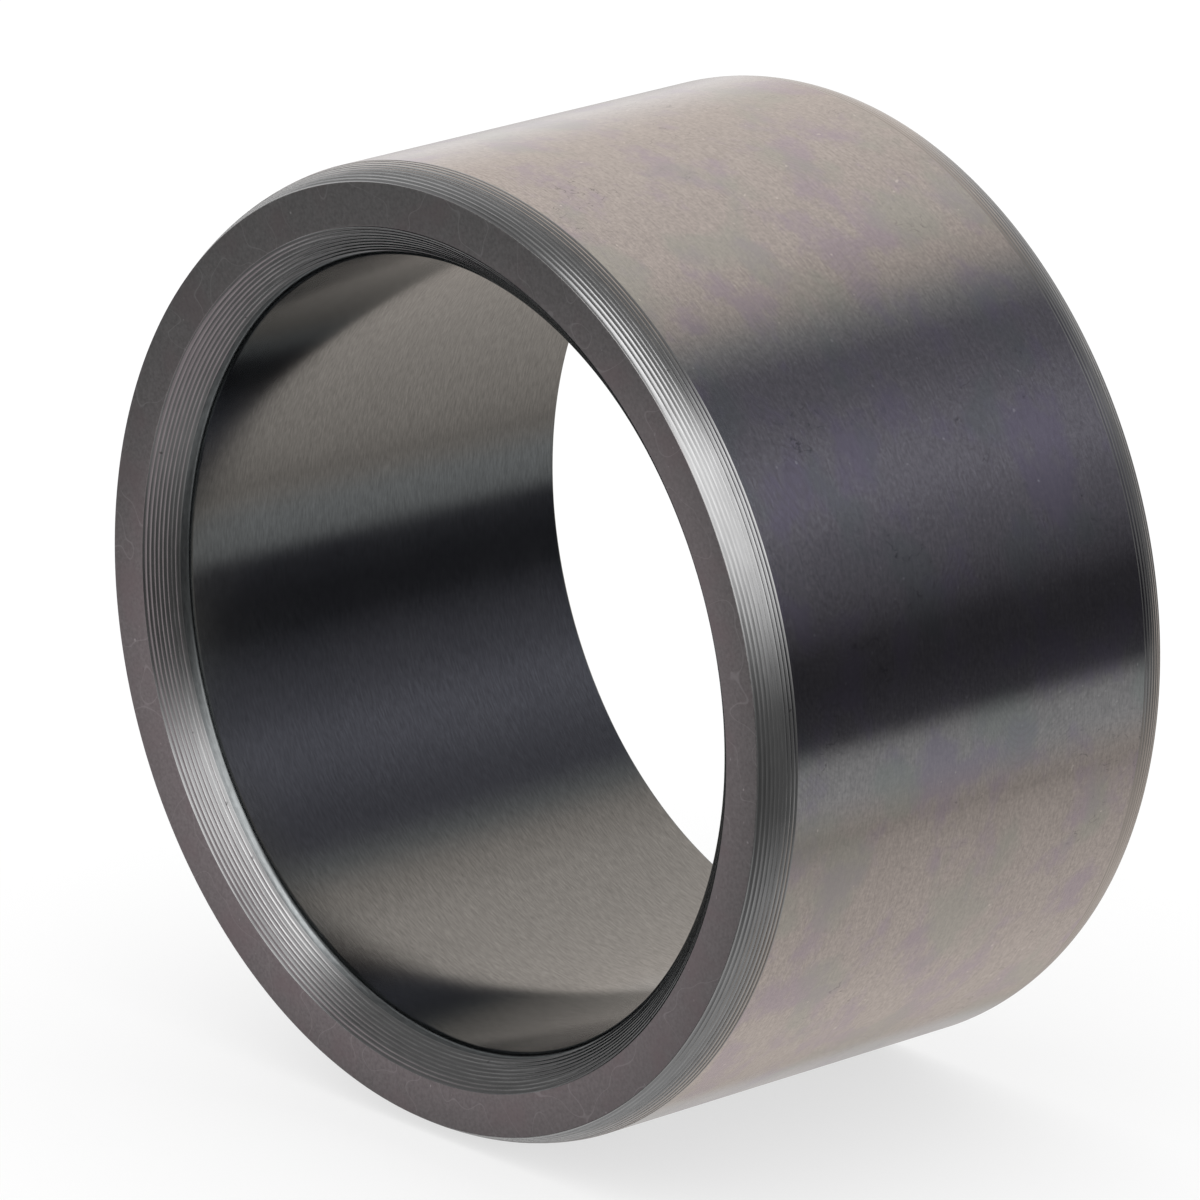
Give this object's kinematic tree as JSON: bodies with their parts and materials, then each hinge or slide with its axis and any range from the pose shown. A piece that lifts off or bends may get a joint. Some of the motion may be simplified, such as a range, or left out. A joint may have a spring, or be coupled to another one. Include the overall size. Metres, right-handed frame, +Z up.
{
  "type": "needle roller bearing inner ring",
  "caption": "Plain hardened steel inner ring of a needle roller bearing, ground bore and raceway, with shallow lead-in chamfers outside and turned chamfers in the bore.",
  "frame": {"origin": "middle of the ring, on its axis and halfway between its faces", "axes": "+Y along the ring's axis from the front face to the back face, +Z up as the ring stands on its rim, +X to the right"},
  "size_m": [0.037, 0.0198, 0.037],
  "materials": {
    "bearing_steel": "ground bore, raceway and faces, finely turned chamfers"
  },
  "bodies": {
    "root": {"inner_ring": "bearing_steel"}
  },
  "joints": []
}
